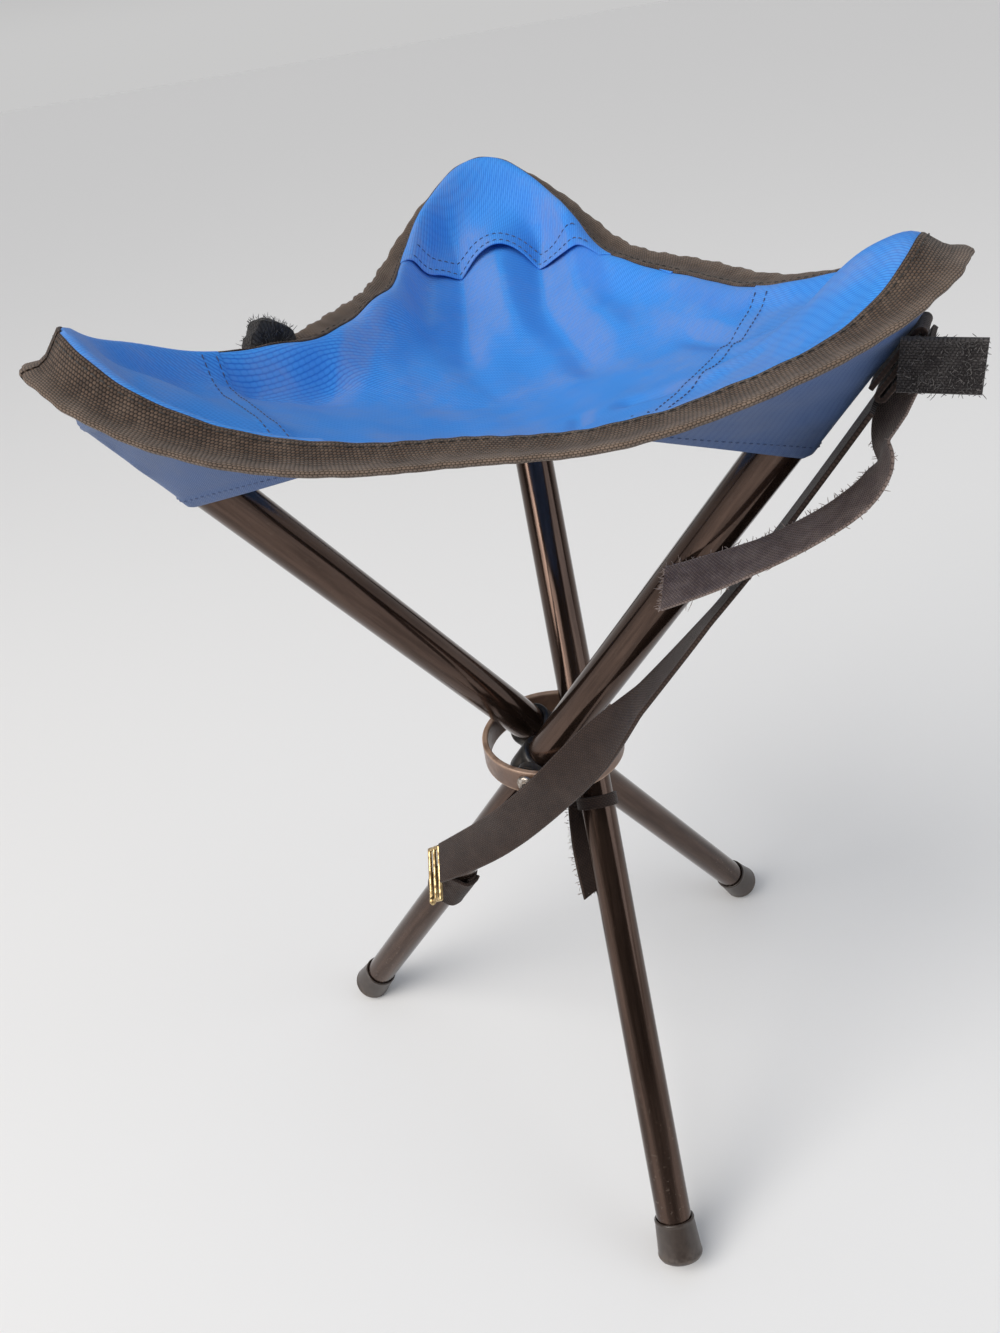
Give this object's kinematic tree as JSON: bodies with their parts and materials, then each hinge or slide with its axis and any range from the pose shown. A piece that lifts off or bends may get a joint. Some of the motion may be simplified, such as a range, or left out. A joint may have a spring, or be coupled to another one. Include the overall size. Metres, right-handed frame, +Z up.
{
  "type": "folding tripod stool",
  "caption": "Folding tripod stool: tube legs crossing in a riveted hub ring, capped feet, and a dished cloth seat whose lifted corners sit on the leg ends, with a carry strap.",
  "frame": {"origin": "on the floor, under the axis of the hub ring", "axes": "+Z up along the hub ring's axis; +X along the rear leg's rivet; the rear corner of the seat is towards +Y"},
  "size_m": [0.3156, 0.3233, 0.4721],
  "materials": {
    "hub_paint": "bronze-brown gloss paint",
    "tube_paint": "very dark brown gloss paint",
    "rivet_steel": "bright plated",
    "black_plastic": "moulded, satin",
    "brown_plastic": "moulded, satin",
    "seat_cloth": "blue polyester twill with a soft sheen",
    "edge_tape": "brown-black ribbed binding tape, worn at the fold",
    "brown_web": "dark brown woven webbing",
    "black_web": "black fuzzy webbing",
    "buckle_brass": "bright wire"
  },
  "bodies": {
    "hub": {"hub_ring": "hub_paint", "rivets": "rivet_steel", "spacer_washers": "black_plastic", "seat_panel": "seat_cloth", "binding_front": "edge_tape", "binding_back_right": "edge_tape", "binding_back_left": "edge_tape", "edge_tab": "black_web"},
    "rear_leg": {"rear_upper_tube": "tube_paint", "rear_lower_tube": "tube_paint", "rear_collar": "black_plastic", "rear_foot_cap": "brown_plastic", "rear_top_plug": "brown_plastic", "rear_pocket": "seat_cloth", "tail_keeper": "brown_web", "strap_tail": "brown_web"},
    "left_leg": {"left_upper_tube": "tube_paint", "left_lower_tube": "tube_paint", "left_collar": "black_plastic", "left_foot_cap": "brown_plastic", "left_top_plug": "brown_plastic", "left_pocket": "seat_cloth"},
    "right_leg": {"right_upper_tube": "tube_paint", "right_lower_tube": "tube_paint", "right_collar": "black_plastic", "right_foot_cap": "brown_plastic", "right_top_plug": "brown_plastic", "right_pocket": "seat_cloth", "strap_anchor": "brown_web", "carry_strap": "brown_web", "leg_strap_loop": "brown_web", "slide_buckle": "buckle_brass", "ribbon_strap": "brown_web", "closure_stub": "black_web"}
  },
  "joints": [
    {"name": "rear_fold", "type": "hinge", "parent": "hub", "child": "rear_leg", "pos_m": [0, 0, 0.21964], "axis": [1, 0, 0], "range_deg": [0, 34.8], "deforming": ["seat_panel", "binding_front", "binding_back_right", "binding_back_left", "edge_tab", "rear_pocket"]},
    {"name": "left_fold", "type": "hinge", "parent": "hub", "child": "left_leg", "pos_m": [0, 0, 0.21964], "axis": [-0.5, 0.866, 0], "range_deg": [0, 34.8], "deforming": ["left_pocket"]},
    {"name": "right_fold", "type": "hinge", "parent": "hub", "child": "right_leg", "pos_m": [0, 0, 0.21964], "axis": [-0.5, -0.866, 0], "range_deg": [0, 34.8], "deforming": ["right_pocket"]}
  ],
  "couplings": [
    {"joint": "left_fold", "follows": "rear_fold", "ratio": 1},
    {"joint": "right_fold", "follows": "rear_fold", "ratio": 1}
  ]
}
